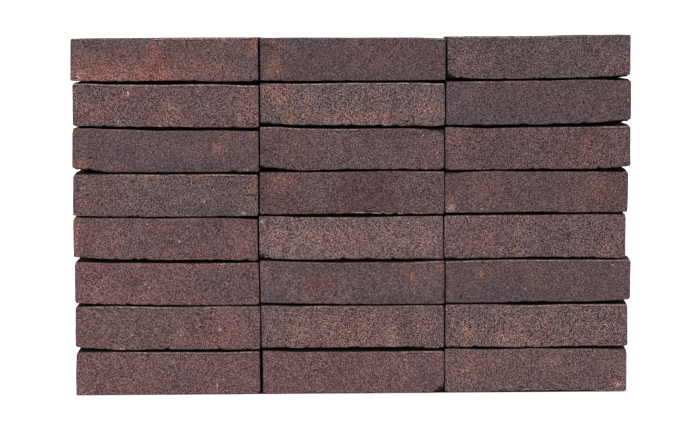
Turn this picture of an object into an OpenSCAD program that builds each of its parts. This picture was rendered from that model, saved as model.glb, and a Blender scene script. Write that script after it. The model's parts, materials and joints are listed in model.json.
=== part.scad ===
// A dry stack of solid, soft-mud facing bricks: three bricks long, one brick
// deep and eight courses high, laid bed on bed with the stretcher faces to the
// front and the perpends in line. There is no mortar, pallet or strap.
// Millimetres. X runs along the stack, -Y is the front, Z is up, and the
// origin lies on the ground under the middle of the stack.

/* [Brick] */
// Length of a stretcher face
brick_length = 210; // [160:1:300]
// Depth of the brick, from front to back
brick_depth = 100; // [70:1:150]
// Height of the brick, from bed to bed
brick_height = 51; // [38:1:90]
// Radius of the worn arrises
arris_radius = 1.5; // [0.5:0.1:4]

/* [Stack] */
// Number of courses
courses = 8; // [1:1:16]
// Gap between the ends of neighbouring bricks, where they are pushed together
perpend_gap = 0.5; // [0.3:0.1:3]

/* [Hidden] */
$fn = 48;
// Firing tones: purple brown, blue grey, and brown that kept some of its red
plum = "#6b5355";
slate = "#5e5056";
russet = "#725452";
COLUMNS = ["left", "middle", "right"];
// Every list below runs from the bottom course up, and each course from left to
// right. A stack with more courses starts again from the first.

// Height of each course over the brick's own
course_extra = [0.5, 1.5, 0, 0.5, -0.5, -0.5, 1, -1.5];
// How far each course starts to the right of its true place
course_shift = [-3, -2.5, -2.5, -2.5, -2, -2, -0.5, -2];
// Length of each brick over the nominal one
length_extra = [
    [2, -1, -0.5],
    [2.5, 0.5, 0],
    [1.5, 2.5, 1.5],
    [0.5, 1.5, -2.5],
    [1, 1, -0.5],
    [2.5, 0.5, 1],
    [2, 1, 0],
    [3, 1, -2.5],
];
// Width of the two perpends over perpend_gap
perpend_extra = [
    [2, 0],
    [0, 0],
    [0, 0],
    [0, 0],
    [0.5, 0],
    [0, 0],
    [0, 0],
    [1, 1],
];
// How far each brick stands in front of the true line
proud = [
    [0, 0.5, -0.5],
    [1, 0, 0.5],
    [-0.5, 0.5, 1.5],
    [0, -1, -0.5],
    [1.5, 0, 0.5],
    [-0.5, -0.5, 0.5],
    [0.5, 0, -0.5],
    [-1, -0.5, 0],
];
// Firing tone of each brick
tone = [
    [plum, plum, plum],
    [plum, plum, plum],
    [plum, slate, slate],
    [plum, plum, plum],
    [slate, plum, plum],
    [slate, plum, plum],
    [plum, russet, slate],
    [russet, slate, plum],
];

// The entry of a list for a course that is counted from 1
function laid(list, course) = list[(course - 1) % len(list)];

function course_height(course) = brick_height + laid(course_extra, course);

// Level that a course lies at
function bed_level(course) =
    course == 1 ? 0 : bed_level(course - 1) + course_height(course - 1);

function length_of(course, place) = brick_length + laid(length_extra, course)[place];

function perpend_after(course, place) = perpend_gap + laid(perpend_extra, course)[place];

stack_length = len(COLUMNS) * brick_length + (len(COLUMNS) - 1) * perpend_gap;

// Where the left end of a brick lies
function left_end(course, place) =
    place == 0
    ? laid(course_shift, course) - stack_length / 2
    : left_end(course, place - 1) + length_of(course, place - 1)
        + perpend_after(course, place - 1);

// A rectangle whose corners are true arcs
module worn_outline(size, radius) {
    translate([radius, 0]) square([size.x - 2 * radius, size.y]);
    translate([0, radius]) square([size.x, size.y - 2 * radius]);
    for (x = [radius, size.x - radius], y = [radius, size.y - radius])
        translate([x, y]) circle(r = radius);
}

// One solid brick, with its low front left corner at the origin
module brick(size, radius) {
    intersection() {
        linear_extrude(height = size.z) worn_outline([size.x, size.y], radius);
        translate([0, size.y, 0]) rotate([90, 0, 0])
            linear_extrude(height = size.y) worn_outline([size.x, size.z], radius);
        rotate([90, 0, 90])
            linear_extrude(height = size.x) worn_outline([size.y, size.z], radius);
    }
}

// The brick at one place of one course, where it lies in the stack
module laid_brick(course, place) {
    size = [length_of(course, place), brick_depth, course_height(course)];
    front = -brick_depth / 2 - laid(proud, course)[place];
    color(laid(tone, course)[place])
        translate([left_end(course, place), front, bed_level(course)])
            brick(size, arris_radius);
}

for (course = [1:courses], place = [0:len(COLUMNS) - 1])
    laid_brick(course, place);
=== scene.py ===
# %% [markdown]
# # A dry stack of facing bricks
#
# The stack is 24 solid bricks: three along, one deep and eight courses high. Nothing
# holds them but their weight. Each one was thrown into a sanded mould as soft mud,
# turned out, dried and fired, so no two have the same outline, joints or colour.
#
# The imported CAD model gives every brick its place and its size. It could be rendered
# as it is, but its bricks are perfect boxes. So each box is used here as a mould: a
# finer brick is made inside it, worn and coloured one by one, and takes its place.

# %% Open the imported model
import json
import math

import bmesh
import bpy
from mathutils import Matrix, Vector, noise


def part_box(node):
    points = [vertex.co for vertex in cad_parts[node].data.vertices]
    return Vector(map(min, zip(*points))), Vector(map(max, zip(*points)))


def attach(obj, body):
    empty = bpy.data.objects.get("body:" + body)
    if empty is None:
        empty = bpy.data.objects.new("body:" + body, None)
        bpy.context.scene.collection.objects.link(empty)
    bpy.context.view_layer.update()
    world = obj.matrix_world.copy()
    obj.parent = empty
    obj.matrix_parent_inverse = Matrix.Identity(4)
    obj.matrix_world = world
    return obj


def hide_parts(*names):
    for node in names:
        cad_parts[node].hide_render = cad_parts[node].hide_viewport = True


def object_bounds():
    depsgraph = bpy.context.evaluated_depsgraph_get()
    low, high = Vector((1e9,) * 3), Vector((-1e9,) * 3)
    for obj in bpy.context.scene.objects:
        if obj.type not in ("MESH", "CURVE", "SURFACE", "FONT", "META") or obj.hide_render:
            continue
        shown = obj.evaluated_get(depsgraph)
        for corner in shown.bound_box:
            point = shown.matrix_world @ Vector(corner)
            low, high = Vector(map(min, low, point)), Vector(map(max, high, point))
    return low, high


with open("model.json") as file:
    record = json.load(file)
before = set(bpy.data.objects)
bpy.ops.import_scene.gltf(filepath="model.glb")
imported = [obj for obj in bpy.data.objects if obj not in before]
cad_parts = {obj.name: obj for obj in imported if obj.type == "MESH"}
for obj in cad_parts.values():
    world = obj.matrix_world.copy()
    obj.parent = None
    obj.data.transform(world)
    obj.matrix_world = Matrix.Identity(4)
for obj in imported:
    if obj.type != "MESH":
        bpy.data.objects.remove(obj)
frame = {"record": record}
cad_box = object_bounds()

MM = 0.001
COLUMNS = ("left", "middle", "right")
SLOTS = {part["node"]: part["material_slot"] for part in frame["record"]["subparts"]}
COURSES = len(SLOTS) // len(COLUMNS)
print("courses:", COURSES, "bricks:", len(SLOTS))

# %% [markdown]
# ## What each brick looks like
#
# A kiln colours every brick a little differently: a face that met the flame goes blue
# grey, one that was covered by its neighbour stays red, and sand that stuck to the mud
# burns to a pale tan. These tones could be left to chance, but a real stack is
# recognised by its bricks, so the ones on the front are placed one by one.
#
# A flash is a soft patch of another tone. It is written as its tone, the share of the
# way along the face and up it, its reach along and up in millimetres, and how strongly
# it shows. The number before the flashes says how coarse the sand on that brick is.

# %% The kiln's tones
TONES = {
    "blush": "#634042",
    "rose": "#5e3e3f",
    "plum": "#5b3a3c",
    "haze": "#5a4042",
    "mist": "#543a3c",
    "dusk": "#533536",
    "fog": "#4f383a",
    "smoke": "#4b3536",
    "blue": "#46363c",
    "umber": "#482a2c",
    "terracotta": "#844b43",
    "red": "#723e38",
    "pink": "#734743",
    "cream": "#7f544c",
    "tan": "#6e4941",
    "ochre": "#694336",
    "lime": "#af8b85",
    "ember": "#955841",
    # The last two tones are painted light: near black painted shade for holes, cracks, creases and covered
    # joints, and a pale painted highlight for lips and top arrises.
    "painted_shade": "#170e0d",
    "lip_with_painted_light": "#926f6b",
}


def linear(hex_colour):
    """Turns a colour as people write it into the light that a shader adds up."""
    parts = [int(hex_colour[i:i + 2], 16) / 255 for i in (1, 3, 5)]
    return tuple(p / 12.92 if p < 0.04045 else ((p + 0.055) / 1.055) ** 2.4 for p in parts) + (1.0,)


# %% The tone, the sand and the flashes of every brick
FIRING = {
    "brick_course_8_left": ("mist", 0.95, [
        ("red", 0.12, 0.55, 60, 24, 0.35), ("red", 0.62, 0.55, 80, 30, 0.25),
        ("terracotta", 0.12, 0.18, 62, 17, 0.75), ("terracotta", 0.42, 0.16, 56, 15, 0.6),
        ("red", 0.46, 0.46, 17, 26, 0.9), ("terracotta", 0.74, 0.22, 44, 12, 0.35),
        ("blue", 0.16, 0.86, 44, 12, 0.6), ("terracotta", 0.80, 1.00, 60, 6, 0.8),
        ("terracotta", 0.98, 0.80, 10, 12, 0.5), ("umber", 0.60, 0.78, 30, 10, 0.4)]),
    "brick_course_8_middle": ("smoke", 0.8, [
        ("blue", 0.58, 0.06, 100, 11, 1.0), ("blue", 0.30, 0.88, 50, 9, 0.9),
        ("tan", 0.10, 0.80, 12, 9, 0.6), ("tan", 0.08, 0.30, 14, 18, 0.7),
        ("dusk", 0.75, 0.75, 50, 20, 0.5)]),
    "brick_course_8_right": ("smoke", 1.1, [
        ("rose", 0.12, 0.40, 30, 30, 0.8), ("mist", 0.58, 0.78, 34, 16, 0.6),
        ("plum", 0.93, 0.35, 20, 22, 0.9), ("umber", 0.40, 0.45, 34, 30, 0.3)]),
    "brick_course_7_left": ("plum", 1.15, [
        ("ochre", 0.03, 0.45, 9, 30, 0.2), ("pink", 0.30, 0.78, 9, 12, 0.7),
        ("pink", 0.12, 0.35, 22, 18, 0.4), ("cream", 0.52, 0.25, 14, 20, 0.4),
        ("mist", 0.72, 0.60, 40, 20, 0.6), ("pink", 0.50, 0.30, 20, 26, 0.4),
        ("pink", 0.93, 0.40, 18, 30, 0.5)]),
    "brick_course_7_middle": ("mist", 1.25, [
        ("pink", 0.10, 0.72, 26, 20, 0.9), ("ochre", 0.165, 0.22, 9, 18, 0.9),
        ("cream", 0.25, 0.45, 12, 24, 0.35), ("pink", 0.55, 0.20, 70, 16, 0.7),
        ("pink", 0.90, 0.40, 22, 20, 0.6), ("rose", 0.60, 0.65, 70, 24, 0.8)]),
    "brick_course_7_right": ("smoke", 0.85, [
        ("blue", 0.18, 0.18, 60, 20, 1.0), ("blue", 0.66, 0.10, 80, 12, 0.9),
        ("blue", 0.66, 0.88, 40, 12, 0.8), ("mist", 0.78, 0.60, 26, 18, 0.6),
        ("blue", 0.05, 0.70, 20, 26, 0.7), ("plum", 0.86, 0.25, 14, 12, 0.5)]),
    "brick_course_6_left": ("mist", 0.8, [
        ("blue", 0.60, 0.08, 110, 13, 1.0), ("blue", 0.22, 0.50, 40, 34, 0.5),
        ("tan", 0.79, 0.62, 13, 17, 0.6), ("ochre", 0.98, 0.88, 8, 10, 0.6),
        ("pink", 0.06, 0.14, 14, 10, 0.6), ("ochre", 0.23, 0.10, 20, 7, 0.5),
        ("smoke", 0.55, 0.85, 70, 12, 0.5)]),
    "brick_course_6_middle": ("mist", 0.9, [
        ("dusk", 0.20, 0.60, 40, 34, 0.8), ("rose", 0.95, 0.45, 20, 26, 0.7),
        ("mist", 0.62, 0.15, 50, 14, 0.8), ("smoke", 0.72, 0.75, 40, 16, 0.8),
        ("blue", 0.38, 0.10, 40, 10, 0.5)]),
    "brick_course_6_right": ("dusk", 1.05, [
        ("plum", 0.08, 0.55, 20, 34, 0.9), ("red", 0.77, 0.55, 12, 24, 0.35),
        ("plum", 0.93, 0.60, 14, 30, 0.8), ("smoke", 0.40, 0.35, 46, 26, 0.4),
        ("ochre", 0.02, 0.80, 10, 12, 0.4)]),
    "brick_course_5_left": ("haze", 0.85, [
        ("cream", 0.42, 0.96, 24, 6, 1.0), ("ochre", 0.68, 0.93, 26, 6, 0.5),
        ("pink", 0.08, 0.40, 10, 30, 0.4), ("red", 0.16, 0.45, 22, 18, 0.2),
        ("blue", 0.70, 0.14, 60, 12, 0.9), ("tan", 0.965, 0.60, 10, 18, 0.6),
        ("tan", 0.74, 0.38, 12, 12, 0.5), ("blue", 0.85, 0.70, 26, 16, 0.4)]),
    "brick_course_5_middle": ("dusk", 0.95, [
        ("umber", 0.60, 0.50, 32, 60, 0.8), ("umber", 0.49, 0.50, 14, 60, 0.9),
        ("pink", 0.12, 0.75, 22, 16, 0.6), ("mist", 0.32, 0.50, 34, 34, 0.9),
        ("mist", 0.88, 0.60, 34, 34, 1.0), ("umber", 0.02, 0.50, 7, 40, 0.5)]),
    "brick_course_5_right": ("dusk", 1.0, [
        ("cream", 0.03, 0.22, 8, 14, 0.5), ("plum", 0.22, 0.50, 36, 30, 0.9),
        ("smoke", 0.50, 0.50, 50, 34, 0.6), ("umber", 0.90, 0.62, 30, 30, 0.7),
        ("ochre", 0.86, 0.55, 26, 20, 0.35)]),
    "brick_course_4_left": ("plum", 1.0, [
        ("tan", 0.17, 0.35, 11, 26, 0.25), ("pink", 0.25, 0.45, 14, 26, 0.4),
        ("mist", 0.32, 0.50, 18, 34, 0.6), ("dusk", 0.66, 0.60, 46, 24, 0.6),
        ("umber", 0.79, 0.85, 12, 9, 0.6), ("pink", 0.02, 0.50, 8, 34, 0.7),
        ("pink", 0.90, 0.35, 20, 22, 0.5)]),
    "brick_course_4_middle": ("rose", 1.35, [
        ("cream", 0.10, 0.45, 12, 26, 0.5), ("cream", 0.30, 0.55, 22, 24, 0.35),
        ("pink", 0.45, 0.40, 30, 26, 0.6), ("cream", 0.89, 0.45, 18, 24, 0.35),
        ("pink", 0.70, 0.50, 34, 26, 0.3), ("ochre", 0.01, 0.75, 6, 16, 0.4),
        ("cream", 0.20, 0.55, 10, 20, 0.3)]),
    "brick_course_4_right": ("plum", 1.25, [
        ("rose", 0.05, 0.70, 18, 30, 0.9), ("ochre", 0.40, 0.50, 7, 26, 0.6),
        ("mist", 0.60, 0.45, 60, 30, 0.7), ("pink", 0.90, 0.20, 18, 14, 0.5),
        ("pink", 0.20, 0.35, 20, 16, 0.3)]),
    "brick_course_3_left": ("blush", 0.9, [
        ("cream", 0.13, 0.30, 12, 24, 0.5), ("cream", 0.41, 0.18, 18, 12, 0.4),
        ("pink", 0.23, 0.45, 12, 24, 0.5), ("tan", 0.66, 0.92, 22, 7, 0.6),
        ("mist", 0.82, 0.40, 46, 26, 0.9), ("mist", 0.25, 0.80, 34, 12, 0.6)]),
    "brick_course_3_middle": ("haze", 0.75, [
        ("blue", 0.10, 0.14, 34, 12, 1.0), ("blue", 0.75, 0.08, 80, 11, 1.0),
        ("blue", 0.40, 0.85, 80, 13, 0.7), ("plum", 0.34, 0.38, 36, 18, 1.0),
        ("tan", 0.82, 0.70, 10, 14, 0.4), ("ochre", 0.97, 0.90, 9, 10, 0.5),
        ("blue", 0.60, 0.45, 30, 20, 0.4)]),
    "brick_course_3_right": ("fog", 0.8, [
        ("tan", 0.19, 0.70, 9, 12, 0.4), ("blue", 0.30, 0.25, 60, 20, 0.6),
        ("mist", 0.75, 0.50, 60, 34, 0.7), ("tan", 0.47, 0.55, 9, 13, 0.5),
        ("mist", 0.03, 0.50, 10, 34, 0.8)]),
    "brick_course_2_left": ("rose", 1.0, [
        ("cream", 0.56, 0.45, 10, 20, 0.4), ("umber", 0.71, 0.55, 13, 20, 0.6),
        ("pink", 0.80, 0.40, 40, 30, 0.6), ("cream", 0.25, 0.05, 12, 6, 0.6),
        ("plum", 0.10, 0.50, 30, 30, 0.5)]),
    "brick_course_2_middle": ("rose", 1.2, [
        ("cream", 0.71, 0.20, 13, 20, 1.0), ("cream", 0.20, 0.40, 18, 26, 0.5),
        ("cream", 0.88, 0.45, 14, 24, 0.25), ("tan", 0.45, 0.10, 40, 10, 0.7),
        ("pink", 0.50, 0.50, 90, 24, 0.6), ("umber", 0.78, 0.70, 9, 18, 0.4)]),
    "brick_course_2_right": ("rose", 1.3, [
        ("cream", 0.12, 0.30, 11, 22, 0.9), ("cream", 0.29, 0.20, 16, 12, 0.7),
        ("red", 0.545, 0.55, 8, 34, 0.25), ("pink", 0.72, 0.40, 40, 30, 0.15),
        ("pink", 0.40, 0.35, 30, 24, 0.5), ("cream", 0.45, 0.10, 30, 9, 0.4)]),
    "brick_course_1_left": ("blush", 1.0, [
        ("cream", 0.03, 0.10, 9, 12, 0.5), ("pink", 0.80, 0.50, 30, 24, 0.3),
        ("pink", 0.30, 0.40, 40, 24, 0.3)]),
    "brick_course_1_middle": ("blush", 0.95, [
        ("blush", 0.10, 0.45, 34, 34, 0.8), ("plum", 0.45, 0.50, 30, 30, 0.5),
        ("tan", 0.785, 0.60, 6, 26, 0.8), ("blue", 0.90, 0.40, 16, 30, 0.4),
        ("pink", 0.97, 0.85, 8, 10, 0.6)]),
    "brick_course_1_right": ("rose", 1.1, [
        ("pink", 0.14, 0.50, 20, 28, 0.6), ("cream", 0.60, 0.68, 14, 12, 0.5),
        ("cream", 0.95, 0.15, 8, 9, 0.6), ("plum", 0.80, 0.50, 30, 30, 0.6)]),
}
print("flashes placed by hand:", sum(len(flashes) for _, _, flashes in FIRING.values()))

# %% [markdown]
# ## Outlines
#
# Bricks rest on their high spots, so a dry joint is a thin black gap whose width
# changes along it. What the eye sees of it is two arrises: the lower one of the brick
# above and the upper one of the brick below. Each is written as how far it lies off
# its bed, in millimetres, at five even places from left to right. The ends lean a
# little too, so each has an inset at its top and one at its foot.

# %% Arrises and ends of every brick
OUTLINES = {
    "brick_course_8_left": ((2.0, 1.2, 1.6, 0.4, 0.2), (0.2, 0.2, 0.3, 0.3, 0.1), (1.3, -0.3), (0.2, 0.3)),
    "brick_course_8_middle": (
        (0.8, -0.2, -1.0, -2.4, -0.6), (1.0, 1.0, 1.7, 1.9, 2.7), (0.8, 0.8), (0.9, 0.9)),
    "brick_course_8_right": ((2.9, 0.9, 1.2, 1.7, 3.9), (1.0, 1.0, 1.1, 0.3, 0.2), (0.1, 0.1), (0.3, 0.8)),
    "brick_course_7_left": ((3.0, 1.9, 1.2, 0.9, -1.9), (0.9, 2.7, 3.2, 3.1, 5.0), (0.8, 0.2), (0.8, 0.8)),
    "brick_course_7_middle": (
        (3.8, 2.3, 1.7, 0.1, -2.8), (2.5, 3.1, 2.9, 2.5, 3.8), (0.8, 0.8), (1.2, 1.2)),
    "brick_course_7_right": ((0.9, 0.7, 1.3, 2.4, 5.5), (2.1, 2.0, 1.7, 0.8, 2.3), (0.1, 0.1), (0.5, 0.8)),
    "brick_course_6_left": (
        (5.3, 0.5, -0.1, -0.5, -3.1), (-1.1, 1.5, 3.4, 3.6, 4.7), (0.9, -0.2), (0.3, 0.3)),
    "brick_course_6_middle": (
        (5.1, 1.2, 2.2, 1.7, 1.2), (-1.2, 2.0, 2.7, 2.6, 4.0), (1.0, 1.0), (0.5, 0.5)),
    "brick_course_6_right": ((0.8, 0.8, 1.1, 0.9, 2.8), (1.7, 3.1, 2.7, 2.2, 1.3), (0.4, 0.4), (0.6, 0.3)),
    "brick_course_5_left": (
        (1.7, 0.8, -0.6, -0.1, 0.7), (1.9, 1.8, 2.7, 2.6, 3.4), (1.0, -0.4), (0.1, 0.1)),
    "brick_course_5_middle": ((1.7, 1.6, 2.2, 1.3, 1.0), (1.0, 1.1, 0.9, 0.7, 1.3), (1.0, 1.0), (0.3, 0.3)),
    "brick_course_5_right": ((2.7, 2.1, 2.7, 1.7, 1.5), (2.4, 1.5, 2.4, 2.9, 3.4), (0.3, 0.3), (0.5, 1.3)),
    "brick_course_4_left": ((5.8, 2.6, 2.1, 1.7, 0.6), (0.8, 1.6, 2.4, 2.2, 3.7), (0.7, -0.7), (0.1, 0.1)),
    "brick_course_4_middle": (
        (2.2, 0.7, 1.3, 1.1, -0.1), (0.5, 2.2, 2.8, 2.3, 1.9), (1.1, 1.1), (0.5, 0.5)),
    "brick_course_4_right": (
        (1.1, 1.5, 2.2, 1.5, -0.2), (1.5, 1.6, 1.7, 1.1, 1.4), (0.5, 0.5), (-0.4, 0.1)),
    "brick_course_3_left": ((3.1, 1.6, 0.8, 0.0, 0.1), (0.6, 1.9, 2.4, 3.0, 2.2), (0.8, 0.3), (0.4, 0.4)),
    "brick_course_3_middle": (
        (2.3, 1.4, 0.4, -0.4, 0.0), (0.2, 2.3, 3.1, 3.1, 2.1), (1.1, 1.1), (0.9, 0.9)),
    "brick_course_3_right": ((1.2, 1.5, 2.1, 1.7, 3.0), (2.2, 1.0, 1.2, 1.4, 1.8), (0.1, 0.1), (0.4, 0.5)),
    "brick_course_2_left": ((5.2, 1.7, 1.9, 1.7, 1.5), (0.7, 0.7, 1.9, 1.5, 1.8), (0.9, 0.2), (0.6, 0.6)),
    "brick_course_2_middle": ((3.2, 2.5, 2.5, 2.7, 0.8), (0.8, 2.2, 2.0, 2.2, 2.0), (0.5, 0.5), (0.7, 0.7)),
    "brick_course_2_right": ((2.2, 2.1, 1.4, 2.6, 2.3), (1.4, 1.3, 2.8, 2.0, 2.0), (0.6, 0.6), (0.9, 0.3)),
    "brick_course_1_left": (
        (-0.1, 0.2, -0.1, -0.7, 0.2), (1.5, 0.9, 1.9, 2.5, 1.7), (1.3, -1.5), (0.5, 0.5)),
    "brick_course_1_middle": ((0.7, 0.9, 0.9, 0.7, 1.2), (1.2, 2.7, 2.9, 2.8, 2.4), (0.9, 0.9), (0.3, 0.3)),
    "brick_course_1_right": ((0.8, 1.0, 2.2, 2.3, 0.9), (0.1, 1.4, 0.6, 1.0, 2.6), (0.3, 0.3), (0.1, 0.5)),
}
print("joint under the top left brick:", OUTLINES["brick_course_8_left"][0], "mm")

# %% [markdown]
# ## Knocks, lips and marks
#
# Green bricks are handled by their ends, so corners lose flakes. A knock is written as
# the share along and up the front face where it sits, its reach along and up, and how
# deep it bites, in millimetres.
#
# Where mud was pressed past the edge of the mould, a thin lip stands along the arris
# with a crease behind it. The lip is painted pale as a painted highlight and the crease
# near black as painted shade. A lip is written as its arris, the shares where it starts
# and stops, and its strength.
#
# A mark is a small thing in the face itself: a hole where a pebble fell out, a crack,
# a grain of lime or burnt sand, or a pale raised spot. It has a tone, a place and a reach.
# Holes and cracks are painted near black as the shade inside them, and the pale spots
# get the lip's painted highlight.

# %% Knocks placed one by one
KNOCKS = {
    "brick_course_8_left": [(0.99, 0.02, 6, 4, 1.0)],
    "brick_course_8_middle": [(0.37, 0.0, 5, 3, 1.3), (0.47, 0.0, 7, 3, 0.8), (0.05, 0.80, 9, 3, 0.8)],
    "brick_course_8_right": [
        (0.0, 0.02, 13, 12, 9.0), (0.53, 0.0, 6, 3, 1.4), (0.65, 0.0, 5, 3, 1.4), (0.71, 0.0, 4, 3, 1.0)],
    "brick_course_7_left": [(0.0, 0.0, 6, 4, 1.2)],
    "brick_course_7_middle": [
        (0.03, 0.05, 14, 6, 2.4), (0.83, 0.0, 16, 3.5, 1.8), (0.98, 0.0, 6, 4, 1.2)],
    "brick_course_7_right": [(0.17, 0.0, 10, 4, 2.0), (0.42, 0.0, 5, 3, 1.0), (0.60, 0.0, 6, 3, 1.6)],
    "brick_course_6_left": [(0.0, 0.97, 5, 4, 1.4), (0.86, 0.0, 8, 3, 1.0)],
    "brick_course_6_middle": [
        (1.0, 1.0, 26, 12, 8.0), (0.30, 1.0, 16, 3, 1.2), (0.05, 0.02, 22, 5, 2.2),
        (0.02, 0.48, 6, 3, 1.2), (0.53, 0.0, 7, 3, 1.4), (0.78, 0.0, 12, 4, 1.8)],
    "brick_course_6_right": [(1.0, 0.0, 8, 6, 2.0), (0.55, 0.0, 7, 3, 1.0)],
    "brick_course_5_left": [(0.0, 1.0, 6, 6, 2.2), (0.965, 0.45, 7, 3, 1.0)],
    "brick_course_5_middle": [(0.02, 0.92, 6, 5, 1.2)],
    "brick_course_5_right": [(0.0, 1.0, 28, 8, 5.5)],
    "brick_course_4_left": [(0.0, 1.0, 5, 4, 1.6), (0.0, 0.0, 5, 4, 1.2)],
    "brick_course_4_middle": [
        (0.0, 0.0, 18, 10, 6.0), (0.90, 0.0, 30, 3, 1.2), (0.03, 0.93, 6, 4, 1.0)],
    "brick_course_4_right": [
        (0.05, 0.03, 9, 6, 2.4), (0.25, 0.0, 6, 3, 1.2), (0.33, 0.0, 6, 3, 1.4),
        (0.50, 0.0, 22, 3, 1.4), (1.0, 1.0, 7, 5, 2.0), (1.0, 0.0, 5, 5, 1.6)],
    "brick_course_3_left": [(0.0, 1.0, 7, 6, 2.2), (0.96, 0.60, 8, 2, 1.0), (0.995, 0.0, 6, 4, 1.4)],
    "brick_course_3_middle": [(0.985, 0.20, 3, 12, 1.2)],
    "brick_course_3_right": [(1.0, 0.0, 8, 8, 2.6), (0.52, 0.0, 18, 3, 1.4), (1.0, 1.0, 6, 5, 1.6)],
    "brick_course_2_left": [(0.80, 0.47, 4, 2, 0.9)],
    "brick_course_2_middle": [(0.50, 0.87, 3, 4, 0.8), (0.985, 0.0, 6, 5, 1.4)],
    "brick_course_2_right": [(0.0, 0.0, 5, 5, 1.0), (0.36, 0.0, 6, 3, 1.0)],
    "brick_course_1_left": [
        (0.0, 1.0, 6, 5, 2.0), (0.99, 0.0, 10, 7, 2.2), (0.42, 1.0, 20, 3, 1.2), (0.62, 1.0, 8, 3, 1.2),
        (0.78, 1.0, 8, 3, 1.4)],
    "brick_course_1_middle": [(1.0, 0.0, 16, 13, 8.5)],
    "brick_course_1_right": [(1.0, 1.0, 7, 6, 2.6), (0.0, 0.0, 6, 4, 1.4)],
}
print("knocks placed by hand:", sum(len(knocks) for knocks in KNOCKS.values()))

# %% Lips placed one by one
LIPS = {
    "brick_course_8_left": [("upper", 0.45, 0.99, 1.0), ("lower", 0.0, 0.10, 0.8)],
    "brick_course_8_middle": [("upper", 0.92, 1.0, 0.8)],
    "brick_course_8_right": [("upper", 0.0, 0.60, 0.5)],
    "brick_course_7_left": [("upper", 0.0, 1.0, 0.9)],
    "brick_course_7_middle": [("upper", 0.08, 1.0, 0.7)],
    "brick_course_7_right": [("upper", 0.10, 0.55, 0.4)],
    "brick_course_6_left": [("upper", 0.10, 0.60, 0.3)],
    "brick_course_6_middle": [("upper", 0.0, 0.27, 0.8), ("upper", 0.33, 0.55, 0.8)],
    "brick_course_6_right": [("upper", 0.84, 0.98, 1.0)],
    "brick_course_5_left": [("upper", 0.72, 1.0, 1.0), ("upper", 0.25, 0.60, 0.4)],
    "brick_course_5_middle": [("lower", 0.40, 1.0, 1.2), ("upper", 0.86, 1.0, 0.7)],
    "brick_course_5_right": [("lower", 0.0, 0.11, 1.0)],
    "brick_course_4_middle": [("upper", 0.0, 0.50, 0.3)],
    "brick_course_4_right": [("upper", 0.0, 0.50, 0.4)],
    "brick_course_3_left": [("upper", 0.76, 1.0, 0.8)],
    "brick_course_3_middle": [("upper", 0.84, 1.0, 0.8)],
    "brick_course_3_right": [("upper", 0.0, 1.0, 0.8)],
    "brick_course_2_left": [("upper", 0.05, 0.58, 0.9), ("upper", 0.70, 0.85, 0.5)],
    "brick_course_2_middle": [("upper", 0.25, 0.36, 0.7), ("upper", 0.80, 0.88, 0.6)],
    "brick_course_2_right": [("upper", 0.45, 1.0, 1.0)],
    "brick_course_1_left": [("upper", 0.30, 1.0, 1.0)],
    "brick_course_1_middle": [("upper", 0.78, 0.98, 0.9)],
    "brick_course_1_right": [("lower", 0.42, 1.0, 1.0)],
}
print("bricks with a lip:", len(LIPS))
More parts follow.
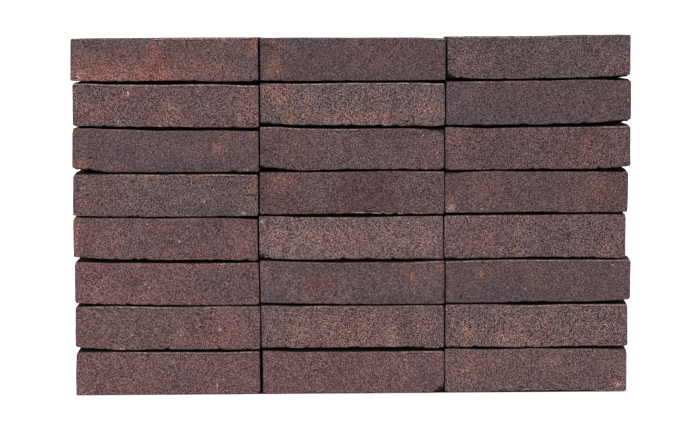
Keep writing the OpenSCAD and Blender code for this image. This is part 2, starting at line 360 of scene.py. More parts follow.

# %% Marks placed one by one
MARKS = {
    "brick_course_8_left": [("lime", 0.045, 0.18, 2, 4), ("lime", 0.05, 0.08, 1.5, 2)],
    "brick_course_8_middle": [
        ("painted_shade", 0.035, 0.82, 6, 1.2), ("painted_shade", 0.07, 0.77, 2, 2), ("ember", 0.075, 0.93, 4, 2),
        ("ember", 0.10, 0.20, 2, 3), ("ember", 0.12, 0.12, 2, 1.5), ("painted_shade", 0.985, 0.36, 3, 1)],
    "brick_course_8_right": [("painted_shade", 0.025, 0.46, 4, 0.8)],
    "brick_course_7_left": [
        ("lime", 0.245, 0.13, 1, 3), ("lime", 0.465, 0.04, 2.2, 1.8), ("lime", 0.30, 0.78, 1.2, 3),
        ("lime", 0.68, 0.72, 1, 1), ("lime", 0.725, 0.48, 1, 1)],
    "brick_course_7_middle": [
        ("ember", 0.175, 0.18, 2, 1.5), ("painted_shade", 0.03, 0.10, 8, 1), ("painted_shade", 0.035, 0.05, 9, 0.8),
        ("ember", 0.17, 0.36, 1.2, 1.2)],
    "brick_course_7_right": [
        ("ember", 0.19, 0.92, 1.8, 1.5), ("lime", 0.06, 0.90, 1, 1), ("lime", 0.98, 0.53, 1.5, 0.9)],
    "brick_course_6_left": [
        ("painted_shade", 0.008, 0.50, 1.2, 1.3), ("painted_shade", 0.10, 0.34, 5, 0.7), ("ember", 0.975, 0.86, 2.5, 4),
        ("painted_shade", 0.86, 0.02, 4, 1.2), ("lime", 0.94, 0.04, 2, 1)],
    "brick_course_6_middle": [
        ("painted_shade", 0.03, 0.49, 4, 1), ("painted_shade", 0.035, 0.22, 3, 1), ("painted_shade", 0.015, 0.44, 2, 1.2),
        ("lime", 0.885, 0.80, 1, 1), ("lime", 0.96, 0.40, 1.2, 1.2)],
    "brick_course_6_right": [
        ("painted_shade", 0.05, 0.55, 1.5, 1.5), ("lime", 0.022, 0.65, 1.3, 1.3),
        ("lime", 0.175, 0.02, 1.4, 1.2), ("lime", 0.02, 0.84, 1.2, 1)],
    "brick_course_5_left": [
        ("ember", 0.06, 0.64, 3.5, 2), ("lime", 0.052, 0.66, 1, 1), ("painted_shade", 0.08, 0.50, 3.5, 0.8),
        ("painted_shade", 0.955, 0.48, 7, 0.9), ("painted_shade", 0.985, 0.40, 1, 3), ("lime", 0.92, 0.07, 3, 1.5),
        ("lime", 0.71, 0.33, 1.2, 2), ("lip_with_painted_light", 0.40, 0.94, 7, 2), ("ember", 0.66, 0.93, 4, 1.5)],
    "brick_course_5_middle": [("painted_shade", 0.02, 0.62, 3, 0.8), ("painted_shade", 0.015, 0.38, 1.5, 1.2)],
    "brick_course_5_right": [("lime", 0.20, 0.12, 1.2, 1.5), ("lip_with_painted_light", 0.035, 0.15, 6, 4)],
    "brick_course_4_left": [
        ("lime", 0.62, 0.80, 1, 1.4), ("lime", 0.40, 0.82, 1.2, 1), ("lime", 0.34, 0.33, 1.2, 1),
        ("lime", 0.573, 0.45, 1, 1.2), ("painted_shade", 0.62, 0.47, 1.4, 0.9), ("painted_shade", 0.427, 0.35, 1.2, 1),
        ("lime", 0.917, 0.73, 1.5, 0.9)],
    "brick_course_4_middle": [
        ("lime", 0.478, 0.78, 1.6, 1.4), ("lip_with_painted_light", 0.025, 0.88, 3, 2.5), ("painted_shade", 0.04, 0.12, 7, 0.8)],
    "brick_course_4_right": [("painted_shade", 0.78, 0.42, 1.4, 1.2)],
    "brick_course_3_left": [("painted_shade", 0.94, 0.17, 1.4, 1.4), ("painted_shade", 0.965, 0.60, 4, 0.8)],
    "brick_course_3_middle": [
        ("ember", 0.82, 0.65, 2.5, 4), ("ember", 0.975, 0.90, 3, 2.5), ("painted_shade", 0.99, 0.20, 0.8, 6)],
    "brick_course_3_right": [
        ("ember", 0.19, 0.68, 2.5, 3), ("lime", 0.19, 0.72, 1.2, 1.2), ("lime", 0.43, 0.33, 1.2, 1.2),
        ("lime", 0.90, 0.85, 1, 1.5), ("painted_shade", 0.085, 0.16, 1.5, 3)],
    "brick_course_2_left": [
        ("lime", 0.308, 0.36, 1.1, 1), ("lime", 0.57, 0.43, 2.4, 0.8), ("lime", 0.57, 0.34, 1.6, 0.9),
        ("painted_shade", 0.805, 0.50, 2, 1), ("lime", 0.785, 0.46, 1.6, 1.2), ("lime", 0.245, 0.06, 3, 1.2),
        ("lime", 0.35, 0.02, 3, 1)],
    "brick_course_2_middle": [
        ("lime", 0.27, 0.045, 3, 1.7), ("ember", 0.285, 0.015, 2.5, 1.4), ("painted_shade", 0.50, 0.87, 1, 2),
        ("lime", 0.94, 0.05, 1.4, 1)],
    "brick_course_2_right": [("lime", 0.22, 0.50, 1.5, 1), ("lime", 0.97, 0.70, 1.4, 1.2)],
    "brick_course_1_left": [
        ("painted_shade", 0.247, 0.61, 1.1, 2), ("lime", 0.466, 0.55, 1.3, 1.4), ("lime", 0.766, 0.17, 0.8, 6),
        ("lime", 0.913, 0.77, 1.2, 1.2)],
    "brick_course_1_middle": [
        ("lime", 0.34, 0.65, 1, 1), ("lime", 0.025, 0.70, 1.3, 1), ("lime", 0.885, 0.88, 1, 1),
        ("lime", 0.79, 0.77, 2.4, 1), ("lime", 0.78, 0.35, 3, 1)],
    "brick_course_1_right": [
        ("lime", 0.95, 0.15, 2.6, 2.2), ("lime", 0.485, 0.60, 1, 1), ("lime", 0.49, 0.93, 0.9, 2)],
}
print("marks placed by hand:", sum(len(marks) for marks in MARKS.values()))

# %% [markdown]
# ## The blank
#
# A brick could be sculpted from a plain cube with a Displace modifier, but then its
# corners would be stretched and every brick would need its own map of bumps.
# Instead the cube is scaled to the box, its twelve arrises are bevelled, and all of it
# is cut into a net of small squares, fine enough to carry a chip. The net is closer
# near the arrises, where a joint opens and a lip stands, and wider in the middle of
# the beds that nobody sees.

# %% A bevelled cube, cut into a net
ARRIS = 0.9 * MM
ARRIS_STEPS = 3
CUTS = (124, 20, 34)
CROWDING = (0.0, 0.65, 0.5)
LONG_EDGE = 20 * MM


def span(edge, axis):
    """How far an edge runs along one axis."""
    return abs(edge.verts[0].co[axis] - edge.verts[1].co[axis])


def crowded(share, crowding):
    """Moves the lines of the net towards both ends of the way from 0 to 1."""
    return share - crowding * math.sin(2 * math.pi * share) / (2 * math.pi)


def blank(low, high):
    """A closed net of squares in the shape of one sharp brick."""
    net = bmesh.new()
    bmesh.ops.create_cube(net, size=1)
    bmesh.ops.scale(net, vec=high - low, verts=net.verts)
    bmesh.ops.translate(net, vec=(low + high) / 2, verts=net.verts)
    bmesh.ops.bevel(
        net, geom=net.edges[:], offset=ARRIS, segments=ARRIS_STEPS, profile=0.5,
        affect="EDGES", material=-1)
    for axis, cuts in enumerate(CUTS):
        long_edges = [edge for edge in net.edges if span(edge, axis) > LONG_EDGE]
        bmesh.ops.subdivide_edges(net, edges=long_edges, cuts=cuts, use_grid_fill=True)
    for axis, crowding in enumerate(CROWDING):
        start, stop = low[axis] + ARRIS, high[axis] - ARRIS
        for vert in net.verts:
            share = (vert.co[axis] - start) / (stop - start)
            if 0 < share < 1:
                vert.co[axis] = start + crowded(share, crowding) * (stop - start)
    return net


# %% [markdown]
# ## Wear
#
# Each of the six faces has its own unevenness: slow waves from the mould and the
# shrinking, and small ones from the sand. The beds matter most. They touch in the
# middle and fall away towards their edges, which is why a dry joint shows as a dark
# uneven line. The lower arris of each brick is the ragged one, because the mud was
# struck off there. At the free ends of the stack the beds stay close, so that no
# light comes through, and the upright joints are open only near the faces.
#
# All of it is one idea: work out how far each face lies inside the box at this place,
# then stretch the net between opposite faces. The waves are noise, which is seeded
# once, so that the same bricks come out on every run. Lengths are in millimetres.

# %% The waves of the faces
NOISE_SEED = 24
SLOW_WAVE = 42
QUICK_WAVE = 8
FACE_INSET, FACE_SLOW, FACE_QUICK = 0.45, 0.28, 0.10
BED_INSET, BED_SLOW, BED_QUICK = 0.08, 0.5, 0.22
END_SLOW, END_QUICK = 0.35, 0.16
LEAST_INSET = 0.05
FRAY_WAVE, FRAY_DEPTH = 4, 0.5
BITE_WAVE, BITE_DEPTH, BITE_START = 5.5, 4.6, 0.18
RAGGED_RISE = 0.2
noise.seed_set(NOISE_SEED)


def eased(share):
    """A smooth step from 0 to 1."""
    share = min(max(share, 0.0), 1.0)
    return share * share * (3 - 2 * share)


def fall(values, share):
    """Reads evenly spaced values along an arris, with soft turns between them."""
    place = min(max(share, 0.0), 1.0) * (len(values) - 1)
    first = min(int(place), len(values) - 2)
    return values[first] + (values[first + 1] - values[first]) * eased(place - first)


def leaning(end, height):
    """The inset of an end at a height between its foot and its top."""
    return end[1] + (end[0] - end[1]) * height


def ragged(here, seed):
    """The frays and the small bites of the struck-off arris."""
    bite = max(0.0, noise.noise(here / BITE_WAVE + seed) - BITE_START)
    return FRAY_DEPTH * noise.noise(here / FRAY_WAVE) + BITE_DEPTH * bite - RAGGED_RISE


# %% How far a joint opens at one place
SKIN = 0.3 * MM
FREE_END = 200 * MM
FAR = 100
TOP_BED = cad_box[1][2] - 5 * MM
BED_OPEN, BED_CLOSING = 9, 20
END_OPEN, END_CLOSING, END_SHARE = 3, 12, 0.35
UPRIGHT_OPEN, UPRIGHT_CLOSING = 5, 12


def bed_opening(at, low, high, deep):
    """1 where a bed falls away fully, near the front and the back, and 0 where it touches."""
    free_left = (at.x - low.x) / MM if low.x < -FREE_END else FAR
    free_right = (high.x - at.x) / MM if high.x > FREE_END else FAR
    from_end = min(free_left, free_right)
    at_end = END_SHARE - END_SHARE * eased((from_end - END_OPEN) / END_CLOSING)
    return max(1 - eased((deep - BED_OPEN) / BED_CLOSING), at_end)


def end_openings(low, high, deep):
    """The same for both ends, which are fully open where they are free."""
    rim = 1 - eased((deep - UPRIGHT_OPEN) / UPRIGHT_CLOSING)
    return (1.0 if low.x < -FREE_END else rim), (1.0 if high.x > FREE_END else rim)


# %% How far each face lies inside its box
CORNER_DEPTH = 12
CORNER_REACH = 3.0
CORNER_FALL = 0.45
LIP_PROUD = 0.35


def rounding(distance, deep):
    """How far a corner of the front or the back is rounded, at a distance from it."""
    outside = 1 - eased(deep / CORNER_DEPTH)
    return outside * CORNER_FALL * max(0.0, 1 - distance / CORNER_REACH) ** 2


def inset_of_faces(at, low, high, seed, outline, lip_with_painted_light):
    """How far inside the box the three lower and the three upper faces lie, at one place."""
    lower_arris, upper_arris, left_end, right_end = outline
    here = at / MM + seed
    slow = noise.noise_vector(here / SLOW_WAVE)
    quick = noise.noise_vector(here / QUICK_WAVE)
    along = min(at.x - low.x, high.x - at.x) / MM
    deep = min(at.y - low.y, high.y - at.y) / MM
    up = min(at.z - low.z, high.z - at.z) / MM
    share = (at.x - low.x) / (high.x - low.x)
    height = (at.z - low.z) / (high.z - low.z)

    face_low = FACE_INSET + FACE_SLOW * slow.y + FACE_QUICK * quick.y - LIP_PROUD * lip_with_painted_light
    face_high = FACE_INSET - FACE_SLOW * slow.y - FACE_QUICK * quick.y
    open_left, open_right = end_openings(low, high, deep)
    left = leaning(left_end, height) + END_SLOW * slow.x + END_QUICK * quick.x
    right = leaning(right_end, height) - END_SLOW * slow.x - END_QUICK * quick.x
    end_low = open_left * left + rounding(up, deep)
    end_high = open_right * right + rounding(up, deep)
    opening = bed_opening(at, low, high, deep)
    lower_fall = fall(lower_arris, share) + BED_SLOW * slow.z + ragged(here, seed)
    upper_fall = fall(upper_arris, share) - BED_SLOW * slow.z + BED_QUICK * quick.z
    bed_low = BED_INSET + opening * lower_fall + rounding(along, deep)
    if high.z > TOP_BED:
        opening = 1.0
    bed_high = BED_INSET + opening * upper_fall + rounding(along, deep)
    lower = Vector(max(inset, LEAST_INSET) for inset in (end_low, face_low, bed_low))
    upper = Vector(max(inset, LEAST_INSET) for inset in (end_high, face_high, bed_high))
    return lower, upper


# %% A lip along an arris with its painted highlight, and painted shade in the crease behind it and on a covered face
TOP_ARRIS_HIGHLIGHT, RIM_START, RIM_WIDTH = 0.35, 0.9, 1.0
JOINT_SHADE_START, JOINT_SHADE_WIDTH = 1.0, 2
LIP_WIDTH, CREASE_START, CREASE_END = 1.2, 1.0, 2.6
LIP_END = 0.04
BREAK_WAVE = 9 * MM


def covered(at, low, high):
    """1 on a bed or an end that its neighbour covers, away from the outside, and 0 elsewhere: where shade
    is painted into the joints.
    """
    under = at.z - low.z < SKIN
    above = high.z - at.z < SKIN and high.z < TOP_BED
    left = at.x - low.x < SKIN and low.x > -FREE_END
    right = high.x - at.x < SKIN and high.x < FREE_END
    if not (under or above or left or right):
        return 0.0
    inside = min(at.y - low.y, high.y - at.y)
    if low.x < -FREE_END:
        inside = min(inside, at.x - low.x)
    if high.x > FREE_END:
        inside = min(inside, high.x - at.x)
    return eased((inside / MM - JOINT_SHADE_START) / JOINT_SHADE_WIDTH)


def lip_with_painted_light_at(at, low, high, seed, lips):
    """1 on a lip of the front face, pale as a painted highlight, down to -1 in its crease or on a covered
    face, dark as painted shade, and 0 elsewhere; a weaker painted highlight runs along every top arris.
    """
    # Painted shade: covered beds and ends are made dark, so that the joints look black.
    painted_joint_shade = covered(at, low, high)
    if painted_joint_shade or at.y - low.y > ARRIS + 0.1 * MM:
        return -painted_joint_shade
    share = (at.x - low.x) / (high.x - low.x)
    # Painted highlight: a pale line along the top arris of every front face.
    total = TOP_ARRIS_HIGHLIGHT * (1 - eased(((high.z - at.z) / MM - RIM_START) / RIM_WIDTH))
    for arris, start, stop, strength in lips:
        rim = (high.z - at.z if arris == "upper" else at.z - low.z) / MM
        inside = eased((share - start) / LIP_END + 0.5) * eased((stop - share) / LIP_END + 0.5)
        broken = min(max(0.75 + 1.1 * noise.noise(at / BREAK_WAVE + seed), 0.0), 1.0)
        crease = 2 * eased((rim - CREASE_START) / LIP_WIDTH) - eased((rim - CREASE_END) / LIP_WIDTH)
        profile = 1 - crease
        total += inside * broken * strength * profile
    return min(max(total, -1.0), 1.0)


# %% Stretch the net between the six uneven faces
def wear(net, low, high, seed, outline, lips):
    """Gives the net its waves, its open joints and its lips, and keeps the lips, with their painted
    highlight and painted shade, as an attribute.
    """
    size = high - low
    layer = net.verts.layers.float.new("lip_with_painted_light")
    for vert in net.verts:
        lip_with_painted_light = lip_with_painted_light_at(vert.co, low, high, seed, lips)
        vert[layer] = lip_with_painted_light
        lower, upper = inset_of_faces(vert.co, low, high, seed, outline, lip_with_painted_light)
        for axis in range(3):
            share = (vert.co[axis] - low[axis]) / size[axis]
            vert.co[axis] += (lower[axis] * (1 - share) - upper[axis] * share) * MM


# %% [markdown]
# ## Chips
#
# A knock takes a shallow scoop out of the clay. It could be cut with a Boolean, but
# that leaves long thin faces around a shape that has no sharp outline anyway. Moving
# the points of the net inwards, most in the middle of the knock and not at all at its
# rim, gives the same scoop and keeps the net even.

# %% Scoop a knock out of the front
KNOCK_DEPTH_REACH = 7.0
NEAR_END = 0.05
NEAR_BED = 0.12
BED_TURN = 1.4
RIM_NOISE = 0.35
RIM_WAVE = 4 * MM


def knock(net, low, high, seed, along, up, reach_along, reach_up, bite):
    """Moves the points near one place of the front face towards the inside of the brick."""
    size = high - low
    centre = Vector((low.x + along * size.x, low.y, low.z + up * size.z))
    reach = Vector((reach_along, KNOCK_DEPTH_REACH, reach_up)) * MM
    inwards = Vector((0, 1, 0))
    if along < NEAR_END or along > 1 - NEAR_END:
        inwards.x = min(1, reach_up / reach_along) * (1 if along < 0.5 else -1)
    if up < NEAR_BED or up > 1 - NEAR_BED:
        inwards.z = BED_TURN if up < 0.5 else -BED_TURN
    inwards.normalize()
    for vert in net.verts:
        away = vert.co - centre
        far = math.sqrt(sum((away[axis] / reach[axis]) ** 2 for axis in range(3)))
        if far < 1 + RIM_NOISE:
            far += RIM_NOISE * noise.noise(vert.co / RIM_WAVE + seed)
            vert.co += inwards * (bite * MM * eased(1 - far))


# %% [markdown]
# ## Shader sums written as Python
#
# A fired clay needs a few dozen nodes. They could be placed one by one, but then the
# recipe would be hard to read. One small class stands for a link in the material, so
# that adding, scaling or subtracting a link adds the Math node that does it, and one
# method adds any other node.

# %% The class for a link
class Link:
    """A value on its way through a material's nodes."""

    def __init__(self, tree, socket=None):
        self.tree = tree
        self.socket = socket

    def node(self, kind, settings, inputs, output=0):
        """Adds a node: first its settings, then a value or a link for each of its sockets."""
        made = self.tree.nodes.new(kind)
        for name, value in settings.items():
            setattr(made, name, value)
        for place, value in inputs.items():
            if isinstance(value, Link):
                self.tree.links.new(value.socket, made.inputs[place])
            else:
                made.inputs[place].default_value = value
        return Link(self.tree, made.outputs[output] if made.outputs else None)

    def math(self, operation, first, second):
        """Adds one Math node."""
        return self.node("ShaderNodeMath", {"operation": operation}, {0: first, 1: second})

    def __add__(self, other):
        return self.math("ADD", self, other)

    def __sub__(self, other):
        return self.math("SUBTRACT", self, other)

    def __rsub__(self, other):
        return self.math("SUBTRACT", other, self)

    def __mul__(self, other):
        return self.math("MULTIPLY", self, other)

    def __gt__(self, other):
        return self.math("GREATER_THAN", self, other)

    __radd__ = __add__
    __rmul__ = __mul__


# %% Words for the nodes that clay needs
def shift(place, by):
    """The same place, moved by a vector or another link."""
    return place.node("ShaderNodeVectorMath", {"operation": "ADD"}, {0: place, 1: by})


def step(value, start, stop, low=0.0, high=1.0):
    """A soft step of a value between two limits."""
    settings = {"interpolation_type": "SMOOTHSTEP"}
    return value.node("ShaderNodeMapRange", settings, {0: value, 1: start, 2: stop, 3: low, 4: high})


def waves(place, size, detail=2.0, roughness=0.5, output=0):
    """Noise whose lumps are about as large as the size, in millimetres."""
    inputs = {"Vector": place, "Scale": 1 / size, "Detail": detail, "Roughness": roughness}
    return place.node("ShaderNodeTexNoise", {}, inputs, output)


def strayed(place, size, by):
    """The same place, moved about by noise, up to a number of millimetres each way."""
    stray = waves(place, size, 3, 0.6, "Color")
    inputs = {0: stray, 1: (2 * by,) * 3, 2: (-by,) * 3}
    return shift(place, stray.node("ShaderNodeVectorMath", {"operation": "MULTIPLY_ADD"}, inputs))


def cells(place, size):
    """Grains: the distance to the middle of the nearest one."""
    return place.node("ShaderNodeTexVoronoi", {}, {"Vector": place, "Scale": 1 / size})


def chance(place, size):
    """One random number for every grain."""
    colour = place.node("ShaderNodeTexVoronoi", {}, {"Vector": place, "Scale": 1 / size}, "Color")
    return colour.node("ShaderNodeSeparateColor", {}, {0: colour}, "Red")


def blend(factor, first, second):
    """A mix of two colours."""
    return factor.node("ShaderNodeMix", {"data_type": "RGBA"}, {0: factor, 6: first, 7: second}, 2)


def tinted(colour, light):
    """A colour made lighter or darker by a number."""
    settings = {"data_type": "RGBA", "blend_type": "MULTIPLY"}
    return colour.node("ShaderNodeMix", settings, {0: 1.0, 6: colour, 7: light}, 2)


def spot(place, centre, reach, rim=1.15, core=0.1):
    """A patch: 1 inside its core and 0 beyond its rim, in shares of its reach."""
    away = place.node("ShaderNodeVectorMath", {"operation": "SUBTRACT"}, {0: place, 1: centre})
    away = away.node("ShaderNodeVectorMath", {"operation": "DIVIDE"}, {0: away, 1: reach})
    far = away.node("ShaderNodeVectorMath", {"operation": "LENGTH"}, {0: away}, "Value")
    return step(far, rim, core)


# %% [markdown]
# ## Fired clay
#
# Close up, a sand-moulded face is a crowd of grains about a millimetre across, with
# dark pores and a few bright quartz grains between them. From further off the eye sees
# the kiln: blue grey, plum and red in soft clouds. The colour is built the same way
# round: the brick's own tone, upright drifts where the mud slid along the mould, the
# flashes, then the grain over all of it, and last the lips and marks, with a painted
# highlight on the lips and top arrises and painted shade in creases, joints and holes.
#
# Everything is read from Object coordinates, turned into millimetres from the middle
# of the brick. A second copy of that place is moved far away by a different amount for
# each brick, so that no two bricks share a pattern. Only the lips need an attribute,
# because they follow an arris that is not straight; the same attribute carries the
# painted highlight along the top arris and the painted shade in creases and on covered faces.

# %% The kiln's colours on one brick
FLASH_DEPTH = 34.0
FLASH_STRAY = 9
STRAY_SIZE = 16
UPRIGHT = (1.0, 1.0, 0.45)
DRIFT_SIZE, DRIFT_LIGHT = 12, 0.42
CLOUD_SIZE, CLOUD_COVER = 55, 0.45
COOL_SIZE, COOL_COVER = 34, 0.35
PATCH_SIZE = 8


def kiln_colour(place, own, half, tone, flashes):
    """The brick's tone with its drifts and flashes, before the grain."""
    upright = own.node("ShaderNodeVectorMath", {"operation": "MULTIPLY"}, {0: own, 1: UPRIGHT})
    drift = waves(upright, DRIFT_SIZE) - 0.5
    cloud = step(waves(own, CLOUD_SIZE), 0.45, 0.70, 0, CLOUD_COVER)
    colour = blend(cloud, linear(TONES[tone]), linear(TONES["plum"]))
    cool = step(waves(own, COOL_SIZE, 3, 0.6), 0.50, 0.72, 0, COOL_COVER)
    colour = blend(cool, colour, linear(TONES["mist"]))
    soft = strayed(place, STRAY_SIZE, FLASH_STRAY)
    patchy = step(waves(own, PATCH_SIZE), 0.30, 0.70, 0.7, 1.1)
    for kind, along, up, reach_along, reach_up, strength in flashes:
        centre = ((along * 2 - 1) * half.x, -half.y, (up * 2 - 1) * half.z)
        mask = spot(soft, centre, (reach_along, FLASH_DEPTH, reach_up)) * patchy * strength
        colour = blend(mask, colour, linear(TONES[kind]))
    return tinted(colour, 1 + drift * DRIFT_LIGHT)


# %% The sand on one brick
GRAIN = 0.65
QUARTZ_PLACE, QUARTZ_LIGHT = 2.6, 0.3
PORE_PLACE, PORE_SHADE, PORE_DEPTH = 2.3, 0.3, 0.25
GROUND_LIGHT = 0.87
BEAD_LIGHT, BEAD_SPREAD, BEAD_MEAN = 1.05, 4.3, 1.32
BEAD_HEIGHT = 0.22
DARKEST = 0.06
WARM_SHADOWS = 1.38
SWELL_SIZE, SWELL_HEIGHT = 7, 0.08


def pores(own):
    """1 in a few small pores between the grains."""
    return step(cells(own, PORE_PLACE), 0.32, 0.18) * (chance(own, PORE_PLACE) > 0.65)


def sanded(colour, own, coarse):
    """The colour with its grains: dark between them, and pale on a few quartz ones."""
    grain = chance(own, GRAIN)
    bead = step(cells(own, GRAIN), 0.75, 0.15)
    quartz = step(cells(own, QUARTZ_PLACE), 0.30, 0.16) * (chance(own, QUARTZ_PLACE) > 0.75)
    light = GROUND_LIGHT + (bead * (BEAD_LIGHT + grain * BEAD_SPREAD) - BEAD_MEAN) * coarse
    light = light.math("MAXIMUM", light + quartz * QUARTZ_LIGHT, DARKEST)
    light = light * (1 - pores(own) * PORE_SHADE)
    swing = light.math("POWER", light, WARM_SHADOWS)
    return tinted(colour, light.node("ShaderNodeCombineColor", {}, {0: light, 1: swing, 2: swing}))


def sand_height(own, coarse):
    """The relief of the sand, in millimetres."""
    bead = step(cells(own, GRAIN), 0.7, 0.1, 0, BEAD_HEIGHT * coarse)
    return bead - pores(own) * PORE_DEPTH + waves(own, SWELL_SIZE) * SWELL_HEIGHT


# %% One material for one brick
# Holes and cracks are painted near black as the shade inside them, and lip marks pale as a painted
# highlight.
MARK_LOOK = {"painted_shade": (-1.2, 0.85), "lime": (0.25, 0.42), "ember": (0.2, 0.35), "lip_with_painted_light": (0.3, 0.5)}
MARK_DEPTH = 6
MARK_STRAY_SIZE, MARK_STRAY = 2.5, 0.8
LIP_HIGHLIGHT_COVER, PAINTED_SHADE_COVER = 0.75, 0.85


def fired_clay(name, low, high, seed, marks):
    """The material of one brick."""
    material = bpy.data.materials.new("clay_" + name)
    material.use_nodes = True
    tree = material.node_tree
    tree.nodes.clear()
    start = Link(tree)
    middle = (low + high) / 2 / MM
    half = (high - low) / 2 / MM
    tone, coarse, flashes = FIRING[name]

    place = start.node("ShaderNodeTexCoord", {}, {}, "Object")
    place = place.node("ShaderNodeMapping", {}, {0: place, 1: -middle, 3: (1 / MM,) * 3})
    own = shift(place, seed)
    colour = kiln_colour(place, own, half, tone, flashes)
    height = sand_height(own, coarse)

    lip_with_painted_light = start.node("ShaderNodeAttribute", {"attribute_name": "lip_with_painted_light"}, {}, "Fac")
    # Painted light: a pale painted highlight on lips and top arrises, then near black painted shade in
    # creases and on covered faces.
    colour = blend(step(lip_with_painted_light, 0.05, 0.95, 0, LIP_HIGHLIGHT_COVER), colour, linear(TONES["lip_with_painted_light"]))
    colour = blend(step(lip_with_painted_light, -0.25, -0.9, 0, PAINTED_SHADE_COVER), colour, linear(TONES["painted_shade"]))
    nearby = strayed(place, MARK_STRAY_SIZE, MARK_STRAY)
    for kind, along, up, reach_along, reach_up in marks:
        relief, cover = MARK_LOOK[kind]
        centre = ((along * 2 - 1) * half.x, -half.y, (up * 2 - 1) * half.z)
        mask = spot(nearby, centre, (reach_along, MARK_DEPTH, reach_up), 1.3, 0.4)
        colour = blend(mask * cover, colour, linear(TONES[kind]))
        height = height + mask * relief
    colour = sanded(colour, own, coarse)

    bump = height.node("ShaderNodeBump", {}, {"Strength": 1.0, "Distance": MM, "Height": height})
    rough = step(chance(own, GRAIN), 0.2, 0.9, 0.95, 0.78)
    shader = start.node(
        "ShaderNodeBsdfPrincipled", {},
        {"Base Color": colour, "Roughness": rough, "Normal": bump, "Specular IOR Level": 0.3})
    start.node("ShaderNodeOutputMaterial", {}, {"Surface": shader})
    return material


# %% [markdown]
# ## Twenty-four bricks
#
# Now the steps run once for each brick: the blank in its box, the wear, the knocks and
# the clay. The finished brick replaces its CAD box and rides on the only body there is.

# %% Make, wear and colour every brick
SEED_STEP = Vector((131.7, 57.3, 93.1))


def make_brick(name, number):
    """One finished brick in the place of its CAD node."""
    low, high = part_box(name)
    seed = SEED_STEP * number
    net = blank(low, high)
    wear(net, low, high, seed, OUTLINES[name], LIPS.get(name, []))
    for one in KNOCKS[name]:
        knock(net, low, high, seed, *one)
    bmesh.ops.recalc_face_normals(net, faces=net.faces)
    mesh = bpy.data.meshes.new(name + "_fired")
    net.to_mesh(mesh)
    net.free()
    mesh.shade_smooth()
    mesh.materials.append(fired_clay(name, low, high, seed, MARKS[name]))
    brick = bpy.data.objects.new(name + "_fired", mesh)
    bpy.context.collection.objects.link(brick)
    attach(brick, "root")
    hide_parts(name)
    return brick


bricks = [
    make_brick(f"brick_course_{course}_{column}", len(COLUMNS) * course + place)
    for course in range(1, COURSES + 1)
    for place, column in enumerate(COLUMNS)
]
triangles = sum(len(face.vertices) - 2 for brick in bricks for face in brick.data.polygons)
print("triangles:", triangles, "for", len(bricks), "bricks")

# %% [markdown]
# ## Floor and light
#
# Bricks are dark and rough, so they show best on white under large soft lamps. A
# single sun would draw hard shadows in every pore. So the room itself is an even
# white, one wide lamp high in front gives the grain and the arrises their shape, and
# the floor is a white acrylic sheet with a faint light of its own, which keeps the
# foot of the stack from standing in a grey puddle. Under the stack that light would
# shine up through the joints, so there the glow is off and the sheet is painted near
# black as a painted contact shadow, which also shows as a dark line under the foot.

# %% The floor
FLOOR_REACH = 14
FLOOR_DROP = 0.02 * MM
FLOOR_GLOW = 0.3
MOTTLE_SIZE = 0.3
UNLIT = (0.01, 0.009, 0.009, 1)
SHADE_EDGE = 2.5 * MM
lowest_course = [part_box(f"brick_course_1_{column}") for column in COLUMNS]
shade_low = Vector((lowest_course[0][0].x, max(low.y for low, high in lowest_course), 0))
shade_high = Vector((lowest_course[-1][1].x, min(high.y for low, high in lowest_course), 0))


def shaded(place):
    """1 on the ground that the lowest course covers, and 0 round it."""
    half = (shade_high - shade_low) / 2
    from_middle = shift(place, -(shade_low + shade_high) / 2)
    reach = from_middle.node("ShaderNodeVectorMath", {"operation": "ABSOLUTE"}, {0: from_middle})
    along = reach.node("ShaderNodeSeparateXYZ", {}, {"Vector": reach}, 0)
    across = reach.node("ShaderNodeSeparateXYZ", {}, {"Vector": reach}, 1)
    by_length = step(along, half.x - SHADE_EDGE, half.x - SHADE_EDGE / 2, 1, 0)
    return by_length * step(across, half.y - SHADE_EDGE, half.y - SHADE_EDGE / 2, 1, 0)


def lit_acrylic():
    """A matt white sheet with a faint mottle, lit a little from below, but not under the stack, where it is
    painted near black as a contact shadow.
    """
    material = bpy.data.materials.new("lit_acrylic_sheet")
    material.use_nodes = True
    tree = material.node_tree
    tree.nodes.clear()
    start = Link(tree)
    place = start.node("ShaderNodeTexCoord", {}, {}, "Object")
    mottle = waves(place, MOTTLE_SIZE)
    colour = blend(mottle, (0.92, 0.92, 0.92, 1), (0.95, 0.95, 0.95, 1))
    shade = shaded(place)
    # Painted shade: near black under the lowest course, a painted contact shadow.
    colour = blend(shade, colour, UNLIT)
    glow = blend(shade, (1, 1, 1, 1), (0, 0, 0, 1))
    shader = start.node(
        "ShaderNodeBsdfPrincipled", {},
        {"Base Color": colour, "Roughness": 0.9,
         "Emission Color": glow, "Emission Strength": FLOOR_GLOW})
    start.node("ShaderNodeOutputMaterial", {}, {"Surface": shader})
    return material


def studio_floor():
    """A wide level sheet just under the stack."""
    sheet = bmesh.new()
    bmesh.ops.create_grid(sheet, x_segments=4, y_segments=4, size=FLOOR_REACH)
    bmesh.ops.translate(sheet, vec=(0, 0, -FLOOR_DROP), verts=sheet.verts)
    mesh = bpy.data.meshes.new("studio_floor")
    sheet.to_mesh(mesh)
    sheet.free()
    mesh.materials.append(lit_acrylic())
    floor = bpy.data.objects.new("studio_floor", mesh)
    bpy.context.collection.objects.link(floor)
    return floor


floor = studio_floor()
print("floor at", round(floor.data.vertices[0].co.z / MM, 2), "mm")
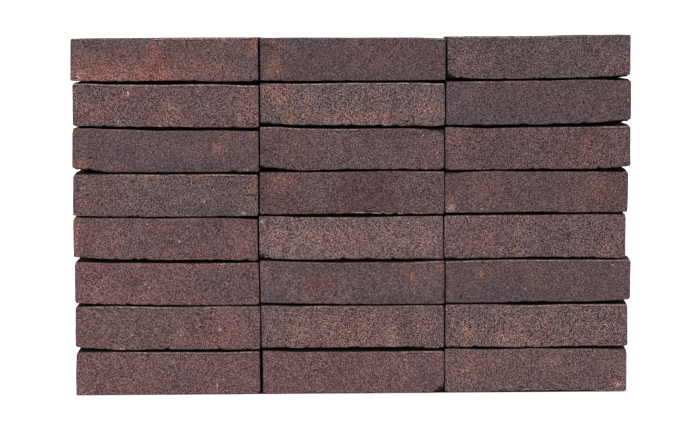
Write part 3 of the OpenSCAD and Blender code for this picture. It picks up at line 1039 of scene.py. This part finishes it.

# %% The lamp and the white room
ROOM_LIGHT = 1.12
LAMP_PLACE = (-0.4, -4.0, 2.3)
LAMP_AIM = (0, 0, 0.2)

scene = bpy.context.scene
world = bpy.data.worlds.new("white_room")
scene.world = world
world.use_nodes = True
world.node_tree.nodes["Background"].inputs["Color"].default_value = (1, 1, 1, 1)
world.node_tree.nodes["Background"].inputs["Strength"].default_value = ROOM_LIGHT


def softbox(name, place, aim, width, height, watts):
    """A wide soft lamp that looks from its place towards its aim."""
    lamp = bpy.data.lights.new(name, "AREA")
    lamp.shape = "RECTANGLE"
    lamp.size = width
    lamp.size_y = height
    lamp.energy = watts
    held = bpy.data.objects.new(name, lamp)
    held.location = place
    held.rotation_euler = (Vector(aim) - Vector(place)).to_track_quat("-Z", "Y").to_euler()
    bpy.context.collection.objects.link(held)
    return held


lamp = softbox("high_front_softbox", LAMP_PLACE, LAMP_AIM, width=2.6, height=1.5, watts=80)
print("lamp of", lamp.data.energy, "watts,", lamp.data.size, "by", lamp.data.size_y, "m")
scene.view_settings.view_transform = "Standard"

# %% [markdown]
# ## Camera
#
# The stack is seen straight on through a short telephoto lens, from just as high as
# its own top, so that the top bed is a line and the lower courses look a little
# narrower. The camera also leans by less than half a degree.

# %% Look at the stack from the front
TOP = cad_box[1][2]
CAMERA_DISTANCE = 2.10
CAMERA_HEIGHT = TOP + 0.0125
CAMERA_ASIDE = -0.002
FRONT = -0.05
LENS = 95.3
SENSOR_WIDTH = 36
LEAN = -math.radians(0.415)

camera_data = bpy.data.cameras.new("front_camera")
camera_data.lens = LENS
camera_data.sensor_width = SENSOR_WIDTH
camera = bpy.data.objects.new("front_camera", camera_data)
camera.location = (CAMERA_ASIDE, FRONT - CAMERA_DISTANCE, CAMERA_HEIGHT)
sight = Vector((CAMERA_ASIDE, FRONT, TOP / 2)) - camera.location
turn = sight.to_track_quat("-Z", "Y").to_matrix().to_4x4()
turn = turn @ Matrix.Rotation(LEAN, 4, "Z")
camera.rotation_euler = turn.to_euler()
bpy.context.collection.objects.link(camera)
scene.camera = camera
print("camera at", tuple(round(value, 3) for value in camera.location))
